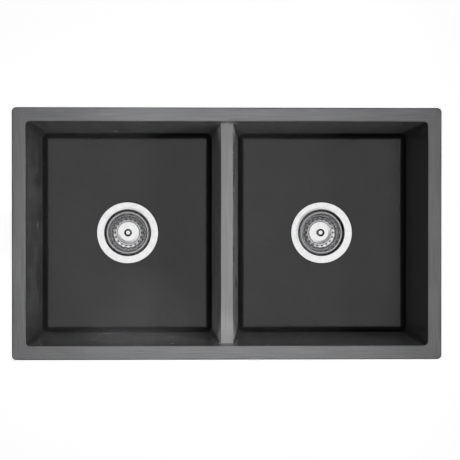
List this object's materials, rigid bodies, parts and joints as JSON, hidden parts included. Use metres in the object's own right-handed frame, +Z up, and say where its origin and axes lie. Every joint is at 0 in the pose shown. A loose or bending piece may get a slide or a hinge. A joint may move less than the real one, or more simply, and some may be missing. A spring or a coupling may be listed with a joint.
{
  "type": "double bowl kitchen sink",
  "caption": "Rectangular kitchen sink moulded in dark composite with side-by-side bowls, a low divider, a flat narrow rim and lift-out basket strainers.",
  "frame": {"origin": "centre of the rim's flat top", "axes": "+X along the sink's long side, +Y to the back, +Z up out of the bowls"},
  "size_m": [0.75, 0.44, 0.3455],
  "materials": {
    "composite": "matte",
    "polished_steel": "polished",
    "satin_steel": "satin",
    "cast_nut": "satin",
    "soft_rubber": "matte",
    "friction_fibre": "matte",
    "nylon": "satin"
  },
  "bodies": {
    "sink": {"basin": "composite", "left_strainer_body": "polished_steel", "left_flange_gasket": "soft_rubber", "left_under_washer": "soft_rubber", "left_friction_ring": "friction_fibre", "left_locknut": "cast_nut", "left_tailpiece_washer": "nylon", "left_tailpiece": "satin_steel", "left_coupling_nut": "cast_nut", "right_strainer_body": "polished_steel", "right_flange_gasket": "soft_rubber", "right_under_washer": "soft_rubber", "right_friction_ring": "friction_fibre", "right_locknut": "cast_nut", "right_tailpiece_washer": "nylon", "right_tailpiece": "satin_steel", "right_coupling_nut": "cast_nut"},
    "left_basket": {"left_basket": "polished_steel", "left_guide_bush": "nylon"},
    "left_plug": {"left_knob": "polished_steel", "left_stem": "satin_steel", "left_backing_plate": "satin_steel", "left_stopper": "soft_rubber", "left_stem_washer": "satin_steel", "left_stem_nut": "satin_steel"},
    "right_basket": {"right_basket": "polished_steel", "right_guide_bush": "nylon"},
    "right_plug": {"right_knob": "polished_steel", "right_stem": "satin_steel", "right_backing_plate": "satin_steel", "right_stopper": "soft_rubber", "right_stem_washer": "satin_steel", "right_stem_nut": "satin_steel"}
  },
  "joints": [
    {"name": "left_basket_lift", "type": "slide", "parent": "sink", "child": "left_basket", "axis": [0, 0, 1], "range_m": [0, 0.265]},
    {"name": "left_plug_lift", "type": "slide", "parent": "left_basket", "child": "left_plug", "axis": [0, 0, 1], "range_m": [0, 0.007]},
    {"name": "right_basket_lift", "type": "slide", "parent": "sink", "child": "right_basket", "axis": [0, 0, 1], "range_m": [0, 0.265]},
    {"name": "right_plug_lift", "type": "slide", "parent": "right_basket", "child": "right_plug", "axis": [0, 0, 1], "range_m": [0, 0.007]}
  ]
}
